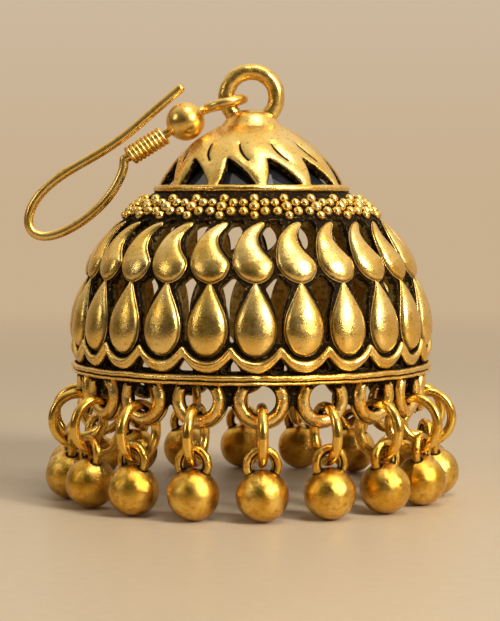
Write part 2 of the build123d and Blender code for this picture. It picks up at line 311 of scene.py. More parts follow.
def spaced(loop, count):
    """A closed outline through evenly spaced points."""
    closed = np.vstack((loop, loop[:1]))
    run = np.concatenate(([0], np.cumsum(np.hypot(*np.diff(closed, axis=0).T))))
    at = np.linspace(0, run[-1], count, endpoint=False)
    return np.column_stack([np.interp(at, run, closed[:, k]) for k in (0, 1)])


def widened(loop, by):
    """A closed outline moved outward."""
    along = np.roll(loop, -1, axis=0) - np.roll(loop, 1, axis=0)
    side = np.column_stack((along[:, 1], -along[:, 0]))
    side /= np.maximum(np.hypot(*side.T), 1e-9)[:, None]
    x, y = loop.T
    if (x * np.roll(y, -1) - np.roll(x, -1) * y).sum() < 0:
        side = -side
    return loop + side * by


def bands(rings, count, start=0, closed=True):
    """Quads between rings of equal length, each given by its first vertex number."""
    faces = []
    for a, b in zip(rings, rings[1:]):
        for i in range(count if closed else count - 1):
            j = (i + 1) % count
            faces.append((a + i + start, a + j + start, b + j + start, b + i + start))
    return faces


def swept(steps, width):
    """Quads of a closed profile that is carried round to where it began."""
    faces = []
    for i in range(steps):
        j = (i + 1) % steps
        for k in range(width):
            m = (k + 1) % width
            faces.append((i * width + k, j * width + k, j * width + m, i * width + m))
    return faces


def at_level(flat, level):
    """Vertex numbers along one level edge of a strip, from left to right."""
    return sorted(np.flatnonzero(np.abs(flat[:, 1] - level) < 1e-6), key=lambda k: flat[k, 0])


def thickened(flat, faces, mouths, levels):
    """Faces of a strip and of its copy below, with the holes and the level edges closed."""
    n = len(flat)
    every = list(faces) + [tuple(k + n for k in reversed(f)) for f in faces]
    for loop in mouths:
        every += [(a, b, b + n, a + n) for a, b in zip(loop, loop[1:] + loop[:1])]
    for level in levels:
        edge = at_level(flat, level)
        every += [(a, b, b + n, a + n) for a, b in zip(edge, edge[1:])]
    return every


def inside(points, loop):
    """Which points lie in a closed outline."""
    x, y = np.asarray(points, float).T
    hit = np.zeros(len(x), bool)
    for (ax, ay), (bx, by) in zip(loop, np.roll(loop, -1, axis=0)):
        if ay == by:
            continue
        cross = (ay > y) != (by > y)
        hit ^= cross & (x < (bx - ax) * (y - ay) / (by - ay) + ax)
    return hit


def make(name, mesh, material, body="root", stands_for=(), merge=0.0, sharp=50):
    """A piece from points, faces and wear-and-shade values, riding on a body and hiding the CAD parts that it
    stands for.
    """
    points, faces, wear_and_shade = mesh
    data = bpy.data.meshes.new(name)
    data.from_pydata((points * MM).tolist(), [], faces)
    layer = data.attributes.new("wear_and_shade", "FLOAT", "POINT")
    layer.data.foreach_set("value", np.asarray(wear_and_shade, np.float32))
    b = bmesh.new()
    b.from_mesh(data)
    if merge:
        bmesh.ops.remove_doubles(b, verts=b.verts, dist=merge * MM)
    bmesh.ops.dissolve_degenerate(b, edges=b.edges, dist=1e-8)
    bmesh.ops.recalc_face_normals(b, faces=b.faces)
    b.to_mesh(data)
    b.free()
    data.shade_smooth()
    data.set_sharp_from_angle(angle=radians(sharp))
    data.materials.append(material)
    piece = bpy.data.objects.new(name, data)
    bpy.context.scene.collection.objects.link(piece)
    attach(piece, body)
    if stands_for:
        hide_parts(*stands_for)
    return piece


# ---- puffed motifs --------------------------------------------------------------------------
LIP = [  # distance outside the body, height over the wall, wear
    (0.085, -0.10, 0.0),
    (0.085, 0.03, 0.10),
    (0.07, 0.09, 0.55),
    (0.035, 0.12, 0.70),
    (0.015, 0.115, 0.40),
]
BODY_STEPS = (0.0, 0.03, 0.09, 0.19, 0.32, 0.48, 0.64, 0.80, 0.93, 1.0)


def puffed(outline, spine, relief, full_width, rise, count, foot=0.11):
    """A drop-like relief that rises from its outline to its spine, with a fine lip round it."""
    loop = spaced(eased(outline), count)
    spine = np.asarray(spine, float)
    room = [np.hypot(*(loop - place).T).min() for place in spine]
    near = np.empty_like(loop)
    width = np.empty(len(loop))
    best = np.full(len(loop), np.inf)
    for k, (a, b) in enumerate(zip(spine, spine[1:])):
        t = np.clip(((loop - a) @ (b - a)) / ((b - a) @ (b - a)), 0, 1)
        q = a + t[:, None] * (b - a)
        d = np.hypot(*(loop - q).T)
        closer = d < best
        near[closer] = q[closer]
        width[closer] = (room[k] + t * (room[k + 1] - room[k]))[closer]
        best[closer] = d[closer]
    top = relief * np.minimum(width / full_width, 1.0) ** 0.62
    points, wear_and_shade = [], []
    for out, height, w in LIP:
        points.append(on_bell(widened(loop, out), height, motif_phase, rise))
        wear_and_shade.append(np.full(count, w))
    for t in BODY_STEPS:
        height = foot + (top - foot) * np.sqrt(1 - (1 - t) ** 2) ** 0.92
        points.append(on_bell(loop + (near - loop) * t, height, motif_phase, rise))
        wear_and_shade.append(np.full(count, min(1.0, 0.36 + 3.2 * t)))
    faces = bands([i * count for i in range(len(points))], count)
    return np.vstack(points), faces, np.concatenate(wear_and_shade)


paisley_outline = [
    (0.70, 2.60), (0.35, 2.50), (-0.05, 2.30), (-0.80, 1.67), (-1.27, 0.88), (-1.52, 0.03),
    (-1.63, -0.79), (-1.49, -1.44), (-1.03, -2.10), (-0.37, -2.46), (0.08, -2.53), (0.44, -2.46),
    (0.97, -2.14), (1.27, -1.54), (1.32, -0.97), (0.98, -0.54), (0.45, 0.07), (0.17, 0.76),
    (0.14, 1.29), (0.35, 1.84), (0.69, 2.31),
]
paisley_spine = [
    (0.61, 2.48), (0.29, 2.22), (-0.03, 1.93), (-0.30, 1.58), (-0.48, 1.18), (-0.57, 0.62), (-0.53, 0.10),
    (-0.36, -0.42), (-0.18, -0.80), (-0.12, -1.02),
]
teardrop_side = [
    (2.62, 0.05), (2.30, 0.22), (1.75, 0.52), (0.80, 1.03), (0.00, 1.36), (-0.85, 1.50), (-1.60, 1.38),
    (-2.20, 1.06), (-2.57, 0.70), (-2.75, 0.26),
]
teardrop_outline = [(w, h) for h, w in teardrop_side] + [(-w, h) for h, w in reversed(teardrop_side)]
teardrop_spine = [(0, 2.45), (0, 1.2), (0, 0), (0, -1.20)]

paisley = puffed(paisley_outline, paisley_spine, 0.74, 1.5, paisley_rise, 96)
teardrop = puffed(teardrop_outline, teardrop_spine, 0.78, 1.48, teardrop_rise, 84)
paisleys = around(paisley, motif_count)
teardrops = around(teardrop, motif_count)

# crescents: a moulding of two ridges swept between cusps
crescent_half = wall_r * cos(radians(crescent_rise)) * tan(radians(sector / 2)) + 0.02
crescent_profile = [  # share of the band from its lower edge to its upper, height, wear
    (-0.04, -0.10, 0.0),
    (-0.02, 0.12, 0.2),
    (0.05, 0.30, 0.6),
    (0.18, 0.42, 0.85),
    (0.34, 0.48, 0.8),
    (0.46, 0.47, 0.55),
    (0.53, 0.52, 0.62),
    (0.62, 0.59, 0.95),
    (0.76, 0.60, 1.0),
    (0.90, 0.52, 0.9),
    (0.98, 0.38, 0.55),
    (1.02, 0.18, 0.1),
    (1.03, -0.10, 0.0),
]


def crescent():
    """One crescent between two cusps. s runs along it from -1 to 1."""
    steps = 37
    points, wear_and_shade = [], []
    for i in range(steps):
        s = -1 + 2 * i / (steps - 1)
        rounding = 0.13 * abs(s) ** 16
        low = -1.40 + 1.34 * (abs(s) ** 2.1 - rounding)
        high = -0.46 + 1.22 * (abs(s) ** 2.3 - rounding)
        slope = radians(58) * abs(s) ** 1.2 * (1 if s > 0 else -1)
        for share, height, w in crescent_profile:
            v = low + (high - low) * share
            u = crescent_half * s - 0.10 * (share - 0.5) * sin(slope)
            wobble = 0.02 * sin(9.0 * s + 3.0 * share)
            points.append((u, v, height * (1 - 0.12 * abs(s) ** 6) + wobble * (height > 0)))
            wear_and_shade.append(w)
    points = np.array(points)
    width = len(crescent_profile)
    faces = bands([i * width for i in range(steps)], width, closed=False)
    return on_bell(points[:, :2], points[:, 2], motif_phase, crescent_rise), faces, np.array(wear_and_shade)


crescents = around(crescent(), motif_count)


def bead_cap(radius, squash, sides=12, levels=5):
    """Upper part of a ball as (right, up, height) points and faces; its last point is the top."""
    points = []
    for k in range(levels):
        lift = radians(-30 + 105 * k / (levels - 1))
        for i in range(sides):
            a = 2 * pi * i / sides
            out = radius * cos(lift)
            points.append((out * cos(a), squash * radius * cos(lift) * sin(a), radius * sin(lift)))
    points.append((0, 0, radius))
    faces = bands([k * sides for k in range(levels)], sides)
    last = (levels - 1) * sides
    faces += [(last + i, last + (i + 1) % sides, len(points) - 1) for i in range(sides)]
    return np.array(points), faces


def flower():
    """Seven granules, one in the middle and six round it."""
    cap, faces = bead_cap(0.372, 1.06)
    parts = []
    spots = [(0, 0), (0, 0.93), (0, -0.93), (0.80, 0.47), (0.80, -0.47), (-0.80, 0.47), (-0.80, -0.47)]
    sizes = (1.18, 1.03, 0.97, 1.0, 1.04, 0.96, 1.01)
    for (u, v), size in zip(spots, sizes):
        p = cap * size + np.array((u, v, 0.12))
        wear_and_shade = np.clip(0.1 + 2.6 * p[:, 2], 0, 1)
        parts.append((on_bell(p[:, :2], p[:, 2], motif_phase, flower_rise), faces, wear_and_shade))
    return joined(parts)


flowers = around(flower(), motif_count)

# ---- pierced wall ---------------------------------------------------------------------------
paisley_hole = (
    [(-0.66, 2.35), (-0.42, 2.78), (0.02, 2.93), (0.44, 2.86), (0.68, 2.50)]
    + arc3((0.68, 2.50), (0.34, 1.10), (0.02, -0.62))[1:]
    + arc3((0.02, -0.62), (-0.98, 0.62), (-0.66, 2.35))[1:-1]
)
teardrop_hole = (
    [(0, 3.38), (0.5, 2.86), (1.02, 2.30)]
    + arc3((1.02, 2.30), (0.34, 0.50), (0.20, -1.50))[1:]
    + arc3((0.20, -1.50), (0, -1.80), (-0.20, -1.50), 5)[1:]
    + arc3((-0.20, -1.50), (-0.34, 0.50), (-1.02, 2.30))[1:]
    + [(-0.5, 2.86)]
)
cusp_hole = [(0, 0.34), (0.41, -0.27), (0.82, -0.88), (0, -0.91), (-0.82, -0.88), (-0.41, -0.27)]
wall_holes = [  # outline, rise, points round it
    (paisley_hole, paisley_rise, 72),
    (teardrop_hole, teardrop_rise, 84),
    (cusp_hole, cusp_rise, 36),
]
# distance outside the hole, height over the wall, wear
HOLE_RINGS = [(0.0, -0.03, 0.22), (0.05, 0.03, 0.33), (0.12, 0.02, 0.08), (0.20, 0.0, 0.0)]


def cut_strip(half, low, high, holes, rings, step, span_of):
    """Triangles of a strip with holes. holes lists each one's rings, innermost first."""
    coords = []
    rows = int(round((high - low) / step))
    for k in range(rows + 1):
        y = low + (high - low) * k / rows
        columns = max(4, int(round(2 * span_of(y) / step)))
        if k in (0, rows):
            columns = 10
        for i in range(columns + 1):
            coords.append((-half + 2 * half * i / columns, y))
    grid = np.array(coords)
    keep = np.ones(len(grid), bool)
    for hole in holes:
        keep &= ~inside(grid, widened(hole[-1], 0.3 * step))
    keep |= np.abs(np.abs(grid[:, 0]) - half) < 1e-9
    coords = [tuple(p) for p in grid[keep]]
    height, wear_and_shade = [0.0] * len(coords), [0.0] * len(coords)
    edges, mouths = [], []
    for hole in holes:
        for number, (loop, (_, h, w)) in enumerate(zip(hole, rings)):
            start, n = len(coords), len(loop)
            coords += [tuple(p) for p in loop]
            height += [h] * n
            wear_and_shade += [w] * n
            edges += [(start + i, start + (i + 1) % n) for i in range(n)]
            if number == 0:
                mouths.append((start, n))
    new, _, faces, origin, _, _ = delaunay_2d_cdt([Vector(c) for c in coords], edges, [], 0, 1e-7)
    source = [o[0] if o else -1 for o in origin]
    height = np.array([height[s] if s >= 0 else 0.0 for s in source])
    wear_and_shade = np.array([wear_and_shade[s] if s >= 0 else 0.0 for s in source])
    back = {s: i for i, s in enumerate(source)}
    flat = np.array([tuple(p) for p in new])
    middle = np.array([flat[list(f)].mean(axis=0) for f in faces])
    gone = np.zeros(len(faces), bool)
    for hole in holes:
        gone |= inside(middle, hole[0])
    faces = [tuple(f) for f, g in zip(faces, gone) if not g]
    loops = [[back[start + i] for i in range(n)] for start, n in mouths]
    return flat, height, wear_and_shade, faces, loops


def bell_strip(place):
    """Strip coordinates of places: azimuth from the strip's middle and elevation, times the radius."""
    away = place - BELL_CENTRE
    azimuth = np.arctan2(away[:, 0], -away[:, 1])
    rise = np.arcsin(away[:, 2] / np.linalg.norm(away, axis=1))
    return np.column_stack((azimuth, rise)) * wall_r


plate_profile = [
    (6.4, plate_z), (3.4, plate_z), (1.3, plate_z), (1.3, ceiling_z), (3.4, ceiling_z), (6.0, ceiling_z),
]
strip_half = radians(sector / 2) * wall_r
strip_low = radians(-9.6) * wall_r
strip_high = np.arcsin((plate_z - bell_z) / wall_r) * wall_r


def wall():
    """One sector of the pierced bell with its share of the plate."""
    holes = []
    for outline, rise, count in wall_holes:
        loop = spaced(eased(outline), count)
        holes.append([bell_strip(on_bell(widened(loop, out), 0.0, 0.0, rise)) for out, _, _ in HOLE_RINGS])
    flat, height, wear_and_shade, faces, mouths = cut_strip(
        strip_half, strip_low, strip_high, holes, HOLE_RINGS, 0.5, lambda y: strip_half * cos(y / wall_r)
    )
    azimuth, rise = flat.T / wall_r
    away = np.column_stack((np.cos(rise) * np.sin(azimuth), -np.cos(rise) * np.cos(azimuth), np.sin(rise)))
    outer = BELL_CENTRE + away * (wall_r + height)[:, None]
    inner = BELL_CENTRE + away * (wall_r - wall_t)
    n = len(flat)
    every = thickened(flat, faces, mouths, (strip_low,))
    # plate over the top edge, down its middle hole and back under to the inner edge
    top = at_level(flat, strip_high)
    inner_wear = np.full(n, 0.47)
    points, wears = [outer, inner], [wear_and_shade, inner_wear]
    rings = [top]
    start = 2 * n
    a = azimuth[top]
    for r, z in plate_profile:
        points.append(np.column_stack((r * np.sin(a), -r * np.cos(a), np.full(len(top), z))))
        wears.append(np.full(len(top), 0.1))
        rings.append(list(range(start, start + len(top))))
        start += len(top)
    rings.append([k + n for k in top])
    for one, two in zip(rings, rings[1:]):
        every += [(one[i], one[i + 1], two[i + 1], two[i]) for i in range(len(top) - 1)]
    return np.vstack(points), every, np.concatenate(wears)


walls = around(wall(), motif_count, motif_phase + sector / 2)


def revolved(profile, count, wobble=None):
    """A closed (radius, z, wear) profile turned round the axis."""
    profile = np.array(profile, float)
    points = []
    for i in range(count):
        a = 2 * pi * i / count
        r, z = profile[:, 0], profile[:, 1]
        if wobble:
            r, z = wobble(a, r, z)
        points.append(np.column_stack((r * sin(a), -r * cos(a), z)))
    return np.vstack(points), swept(count, len(profile)), np.tile(profile[:, 2], count)


# ---- rim: two slightly wavy ridges with a dark line between ---------------------------------
rim_profile = [
    (12.95, 9.98, 0.5), (13.60, 9.97, 0.5), (14.12, 9.98, 0.6), (14.27, 10.00, 0.9), (14.36, 10.05, 1.0),
    (14.39, 10.12, 1.0), (14.35, 10.19, 0.9), (14.27, 10.24, 0.5), (14.19, 10.26, 0.05), (14.19, 10.30, 0.05),
    (14.29, 10.33, 0.5), (14.40, 10.39, 1.0), (14.45, 10.50, 1.0), (14.42, 10.62, 1.0), (14.31, 10.70, 0.9),
    (14.16, 10.73, 0.4), (13.90, 10.69, 0.05), (13.20, 10.69, 0.1), (12.95, 10.66, 0.4), (12.90, 10.35, 0.5),
]


def rim_wave(a, r, z):
    """Small waves on the rim's outer side, and one nick at the front of its upper ridge."""
    lift = 0.020 * sin(17 * a + 1.0) + 0.014 * sin(41 * a) + 0.010 * sin(73 * a + 2.0)
    push = 0.016 * sin(29 * a) + 0.012 * sin(67 * a + 0.5)
    outer = np.clip((r - 13.9) / 0.4, 0, 1)
    nick = 0.13 * np.exp(-(((a - 0.043) / 0.02) ** 2)) * (z > 10.35)
    return r + (push - nick) * outer, z + (lift - 0.5 * nick) * outer * np.where(z > 10.29, 1.0, 0.6)


rim = revolved(rim_profile, 360, rim_wave)

# ---- loops under the rim, and the web between them, painted black as shade ------------------
loop_profile = [  # distance from the loop's middle, depth towards the front, wear
    (1.30, -0.42, 0.3), (1.90, -0.43, 0.3), (2.18, -0.41, 0.5), (2.23, -0.34, 0.7), (2.22, -0.26, 0.7),
    (2.18, -0.20, 0.65), (2.12, -0.17, 0.50), (2.07, -0.16, 0.10), (2.06, -0.06, 0.35), (2.03, 0.10, 0.80),
    (1.96, 0.26, 0.95), (1.85, 0.38, 1.0), (1.69, 0.46, 1.0), (1.52, 0.47, 1.0), (1.37, 0.43, 1.0),
    (1.26, 0.34, 0.95), (1.17, 0.21, 0.7), (1.13, 0.06, 0.3), (1.09, -0.05, 0.1), (1.08, -0.18, 0.15),
    (1.12, -0.29, 0.15), (1.20, -0.37, 0.2),
]


def front_loop():
    """The loop at the front, with the flange behind it."""
    steps = 56
    normal, right, up = frame_at(0, 0)
    middle = np.array((0, -loop_circle_r, loop_z))
    points, wear_and_shade = [], []
    for i in range(steps):
        a = 2 * pi * i / steps
        away = right * sin(a) - up * cos(a)
        for r, depth, w in loop_profile:
            dent = 0.012 * sin(9 * a + 4 * r) + 0.010 * sin(23 * a + r)
            teeth = 0.030 * sin(34 * a) * np.clip((-cos(a) - 0.10) * 2.2, 0, 1) * (depth > 0.2)
            points.append(middle + away * (r + 0.4 * dent) + normal * (depth + dent + teeth))
            # the gold fades in streaks into black towards the rim
            worn_and_shaded = np.clip((cos(a) + 0.66 + 0.16 * sin(19 * r + 5 * depth)) / 0.24, 0, 1)
            if depth < -0.15 and r > 2.05:  # painted shade: the flange is bright along its lower part only, its upper half under the rim painted black
                worn_and_shaded *= np.clip((cos(a) - 0.1) / 0.4, 0, 1)
            wear_and_shade.append(w * worn_and_shaded)
    return np.array(points), swept(steps, len(loop_profile)), np.clip(wear_and_shade, 0, 1)


def web():
    """A bridge that fills the corner between two loops and the rim, painted black all over as painted shade.
    """
    normal, right, up = frame_at(180 / drop_count, 0)
    middle = normal * loop_circle_r * cos(radians(180 / drop_count)) + np.array((0, 0, loop_z))
    rows = 12
    half_pitch, loop_outer_r = 2.36, 2.1
    points = []
    for k in range(rows):
        v = 1.30 - 1.92 * k / (rows - 1)
        half = half_pitch - sqrt(loop_outer_r**2 - v**2)
        sag = 0.20 * (k == rows - 1)
        for depth in (-0.36, 0.12):
            for x in (-1, -0.5, 0, 0.5, 1):
                bulge = 0.10 * (1 - x * x) * (1 if depth > 0 else -0.3)
                rough = 0.05 * sin(31 * x + 17 * k) * (depth > 0)
                lift = sag * (1 - x * x)
                spot = middle + right * half * x + up * (v + lift)
                points.append(spot + normal * (depth + bulge + rough))
    faces = []
    for k in range(rows - 1):
        for i in range(4):
            for side in (0, 5):
                a = k * 10 + side + i
                faces.append((a, a + 1, a + 11, a + 10))
        for x in (0, 4):
            a = k * 10 + x
            faces.append((a, a + 5, a + 15, a + 10))
    for k in (0, rows - 1):
        for i in range(4):
            a = k * 10 + i
            faces.append((a, a + 1, a + 6, a + 5))
    # the value 0.04 paints the whole web black: painted shade in the corner between the loops and the rim
    return np.array(points), faces, np.full(len(points), 0.04)


loops = around(front_loop(), drop_count, drop_phase)
webs = around(web(), drop_count, drop_phase)

# ---- crown of flame leaves ------------------------------------------------------------------
crown_cx, crown_cz, crown_arc_r = circle3((crown_r, crown_z), (5.55, 27.2), (2.4, 29.6))
crown_a0 = atan2(crown_z - crown_cz, crown_r - crown_cx)
crown_run = crown_arc_r * (atan2(29.35 - crown_cz, 2.75 - crown_cx) - crown_a0)
crown_scale = 6.5  # azimuths are laid flat at this radius
leaf_half = radians(180 / leaf_count) * crown_scale

leaf_hole = (
    arc3((-0.98, 1.52), (-1.10, 0.20), (-1.50, -0.98))
    + [(-0.70, -0.99), (0.0, -1.0), (0.75, -0.99), (1.46, -0.98)]
    + arc3((1.46, -0.98), (0.58, 0.14), (-0.98, 1.52))[1:-1]
)
slit_line = arc3((-0.46, 1.05), (-0.24, 0.05), (0.46, -0.95), 7)
slit_taper = 1 - np.abs(np.linspace(-1, 1, 7))  # nothing at the tips, full at the middle
slit_hole = [(x - 0.04 * full, y) for (x, y), full in zip(slit_line, slit_taper)]
slit_hole += [(x + 0.05 * full + 0.01, y) for (x, y), full in zip(reversed(slit_line), slit_taper)]
# distance outside the hole, with height and wear left to the crown's own relief
CROWN_RINGS = [(0.0, 0, 0), (0.05, 0, 0), (0.12, 0, 0), (0.22, 0, 0), (0.36, 0, 0)]
SLIT_RINGS = [(0.0, 0, 0), (0.05, 0, 0), (0.12, 0, 0)]


def crown_strip(place):
    """Strip coordinates of places on the crown: azimuth and run up its arc."""
    azimuth = np.arctan2(place[:, 0], -place[:, 1])
    r = np.hypot(place[:, 0], place[:, 1])
    turn = np.arctan2(place[:, 2] - crown_cz, r - crown_cx)
    return np.column_stack((azimuth * crown_scale, (turn - crown_a0) * crown_arc_r))


def on_crown(flat, height):
    """Places of strip coordinates at a height over the crown."""
    azimuth, turn = flat[:, 0] / crown_scale, flat[:, 1] / crown_arc_r + crown_a0
    r = crown_cx + (crown_arc_r + height) * np.cos(turn)
    z = crown_cz + (crown_arc_r + height) * np.sin(turn)
    return np.column_stack((r * np.sin(azimuth), -r * np.cos(azimuth), z))


def laid(outline, count, rings, azimuth, r, z, rise):
    """Rings round a hole that is drawn on a tilted plane, as crown strip coordinates."""
    normal, right, up = frame_at(azimuth, rise)
    middle = np.array((r * sin(radians(azimuth)), -r * cos(radians(azimuth)), z))
    loop = spaced(eased(outline, 1), count)
    drawn = [widened(loop, out) for out, _, _ in rings]
    return [crown_strip(middle + np.outer(d[:, 0], right) + np.outer(d[:, 1], up)) for d in drawn]


def crown():
    """One leaf of the crown with its window and its slit."""
    opening = laid(leaf_hole, 64, CROWN_RINGS, 0, 6.7, 25.57, 34.8)
    slit = laid(slit_hole, 30, SLIT_RINGS, 3, 5.5, 27.3, 43)
    flat, _, _, faces, mouths = cut_strip(
        leaf_half, 0.0, crown_run, [opening, slit], CROWN_RINGS, 0.34,
        lambda y: radians(180 / leaf_count) * (crown_cx + crown_arc_r * cos(crown_a0 + y / crown_arc_r)),
    )
    far = np.full(len(flat), np.inf)
    crease = np.full(len(flat), np.inf)
    for turn in (-2, 0, 2):
        for loop, store in ((opening[0], far), (slit[0], crease)):
            for spot in loop + np.array((turn * leaf_half, 0)):
                np.minimum(store, np.hypot(*(flat - spot).T), out=store)
    rise = flat[:, 1] / crown_run
    puff = 0.30 * np.sqrt(1 - (1 - np.minimum(far / 0.55, 1)) ** 2) * np.exp(-((rise / 0.62) ** 2))
    fold = 0.13 * np.exp(-((crease / 0.24) ** 2))
    swirl = 0.06 * np.cos(2 * pi * (flat[:, 0] / (2 * leaf_half) + 0.9 * rise))
    swirl = swirl * rise * np.clip(2.6 * (1 - rise), 0, 1)
    height = puff - fold + swirl - 0.12 * np.exp(-((rise / 0.62) ** 2))
    wear_and_shade = np.clip(0.25 + 2.4 * far, 0, 1) * np.clip(0.12 + 3.4 * crease, 0, 1)
    n = len(flat)
    every = thickened(flat, faces, mouths, (0.0, crown_run))
    points = np.vstack((on_crown(flat, height), on_crown(flat, np.full(n, -crown_t))))
    return points, every, np.concatenate((wear_and_shade, np.full(n, 0.3)))


crown_shell = around(crown(), leaf_count, leaf_phase)
wire_round = [
    (7.52 + 0.32 * cos(a), crown_z + 0.03 + 0.32 * sin(a), float(np.clip(1.1 + 1.3 * sin(a), 0.1, 1)))
    for a in np.linspace(0, 2 * pi, 20, endpoint=False)
]
crown_wire = revolved(wire_round, 240, lambda a, r, z: (r + 0.012 * sin(31 * a), z + 0.010 * sin(23 * a + 1)))
post_profile = [
    (0.02, 29.0, 0.5), (1.2, 29.0, 0.5), (1.2, 23.6, 0.5), (2.0, 23.6, 0.5), (2.2, 23.45, 0.7),
    (2.15, 23.2, 0.8), (1.8, 23.03, 0.8), (0.9, 23.0, 0.7), (0.02, 23.0, 0.7),
]
foot_profile = [
    (0.02, 28.75, 0.5), (2.6, 28.75, 0.5), (3.05, 28.82, 0.6), (3.06, 28.95, 1.0), (2.78, 29.22, 1.0),
    (2.44, 29.52, 1.0), (2.16, 29.84, 1.0), (1.96, 30.14, 1.0), (1.72, 30.42, 0.9), (1.3, 30.62, 0.6),
    (0.7, 30.74, 0.5), (0.02, 30.76, 0.5),
]
post_head = revolved(post_profile, 64)
foot = revolved(foot_profile, 96)


def top_ring():
    """The ring that the hook's eye goes round, squarish in section."""
    steps, sides = 96, 28
    points, wear_and_shade = [], []
    for i in range(steps):
        a = 2 * pi * i / steps
        for k in range(sides):
            b = 2 * pi * k / sides
            c, s = cos(b), sin(b)
            across = 0.66 * abs(c) ** 0.9 * (1 if c > 0 else -1)
            deep = 0.80 * abs(s) ** 0.9 * (1 if s > 0 else -1)
            dent = 0.012 * sin(7 * a + 2 * b) + 0.008 * sin(15 * a + b)
            r = ring_r + across + dent
            points.append((r * sin(a), deep * (1 + dent), ring_z + r * cos(a)))
            wear_and_shade.append(0.55 + 0.45 * min(1.0, max(0.0, 1.2 + 2 * across)))
    faces = bands([i * sides for i in range(steps)] + [0], sides)
    return np.array(points), faces, np.array(wear_and_shade)


# ---- ball drops -----------------------------------------------------------------------------
drop_ball_r = 1.96
drop_circle_r = 14.7
bail_z = 4.21
bail_mid = 1.06
bail_front = [  # distance from the bail's middle, depth, wear
    (0.69, 0.0, 0.3), (0.71, 0.09, 0.35), (0.76, 0.16, 0.5), (0.81, 0.18, 0.45), (0.86, 0.17, 0.0),
    (0.93, 0.20, 0.05), (0.99, 0.29, 0.7), (1.10, 0.34, 1.0), (1.21, 0.33, 1.0), (1.31, 0.28, 1.0),
    (1.39, 0.20, 1.0), (1.43, 0.10, 0.95),
]
bail_profile = bail_front + [(1.44, 0.0, 0.9)] + [(r, -depth, w) for r, depth, w in reversed(bail_front[1:])]


def ball_drop():
    """The drop at the front: a ball with a seam, and its grooved bail."""
    normal, right, up = frame_at(0, 0)
    middle = np.array((0, -drop_circle_r, drop_ball_r))
    leans = [-90, -80, -70, -60, -50, -41, -33, -25, -18, -12, -7, -3.5, -1.5, 0]
    leans += [-lean for lean in reversed(leans[:-1])]
    sides = 44
    points, wear_and_shade = [], []
    for lean in leans:
        e = radians(lean)
        for i in range(sides):
            a = 2 * pi * i / sides
            away = normal * sin(e) + (right * cos(a) + up * sin(a)) * max(cos(e), 1e-3)
            x, y, z = away
            dent = 0.007 * sin(3.1 * x + 2.3 * z + 1) + 0.005 * sin(5.3 * z - 4.1 * y)
            dent += 0.003 * sin(9 * x + 8 * y)
            ridge = 0.022 * np.exp(-((lean / 2.2) ** 2))
            # the underside stays plain, so that nothing dips into what the drop stands on
            spot = middle + away * (drop_ball_r - 0.012 + (dent + ridge) * (z > -0.8))
            points.append(spot)
            across, lift = spot[0], spot[2] - bail_z
            off = np.hypot(np.hypot(across, lift) - bail_mid, spot[1] + drop_circle_r) - 0.36
            wear_and_shade.append(np.clip(2.6 * max(off, 0.0) - 0.05, 0, 1))
    ball = (np.array(points), bands([k * sides for k in range(len(leans))], sides), np.array(wear_and_shade))
    steps, width = 56, len(bail_profile)
    points, wear_and_shade = [], []
    for i in range(steps):
        a = 2 * pi * i / steps
        away = right * sin(a) + up * cos(a)
        for k, (r, depth, w) in enumerate(bail_profile):
            dent = 0.010 * sin(5 * a + k) + 0.008 * sin(11 * a + 2 * k)
            points.append(np.array((0, -drop_circle_r, bail_z)) + away * (r + dent) + normal * (depth + dent))
            wear_and_shade.append(w * np.clip((cos(a) + 0.62) / 0.35, 0.1, 1))
    faces = bands([i * width for i in range(steps)] + [0], width)
    return joined([ball, (np.array(points), faces, np.array(wear_and_shade))])


ball_drops = around(ball_drop(), drop_count, drop_phase)

# ---- ear hook: one wire through its bead and coil -------------------------------------------
shank = np.array((-cos(radians(32)), 0, -sin(radians(32))))
bead_middle = np.array((-5.28, 0, 29.84))
eye_right = np.array((cos(radians(14)), 0, sin(radians(14))))
eye_r = 1.55
eye_middle = bead_middle - shank * 1.95 + eye_right * eye_r
bent_wire = [  # places along the wire after the coil: x, z
    (-10.20, 26.85), (-10.22, 26.10), (-10.72, 24.92), (-11.55, 23.68), (-12.80, 22.44), (-14.50, 21.28),
    (-16.15, 20.66), (-17.35, 20.80), (-17.88, 21.62), (-17.72, 22.80), (-16.80, 24.22), (-15.05, 25.66),
    (-12.60, 27.05), (-10.60, 28.32), (-8.88, 29.72), (-7.30, 31.12), (-5.72, 32.42),
]


def wire_path():
    """Smooth places along the hook's wire, from the end of its open eye to the tip."""
    eye_turns = np.radians(np.arange(-152, 141, 12))
    route = [eye_middle + eye_r * (eye_right * cos(t) + np.array((0, sin(t), 0))) for t in eye_turns]
    route += [bead_middle - shank * 1.75 + np.array((0, 0.30, 0)), bead_middle - shank * 1.2, bead_middle]
    route += [bead_middle + shank * far for far in (1.5, 2.6, 3.7, 4.8, 5.5)]
    route += [np.array((x, 0, z)) for x, z in bent_wire]
    route = np.array(route)
    fine = []
    for a, b, c, d in zip(route[:-3], route[1:-2], route[2:-1], route[3:]):
        for t in np.linspace(0, 1, 6, endpoint=False):
            line = 2 * b + (c - a) * t
            fine.append(0.5 * (line + (2 * a - 5 * b + 4 * c - d) * t**2 + (3 * b - a - 3 * c + d) * t**3))
    fine = np.array([route[0]] + fine + [route[-2], route[-1]])
    for _ in range(8):
        fine[1:-1] = 0.5 * fine[1:-1] + 0.25 * (fine[:-2] + fine[2:])
    return fine


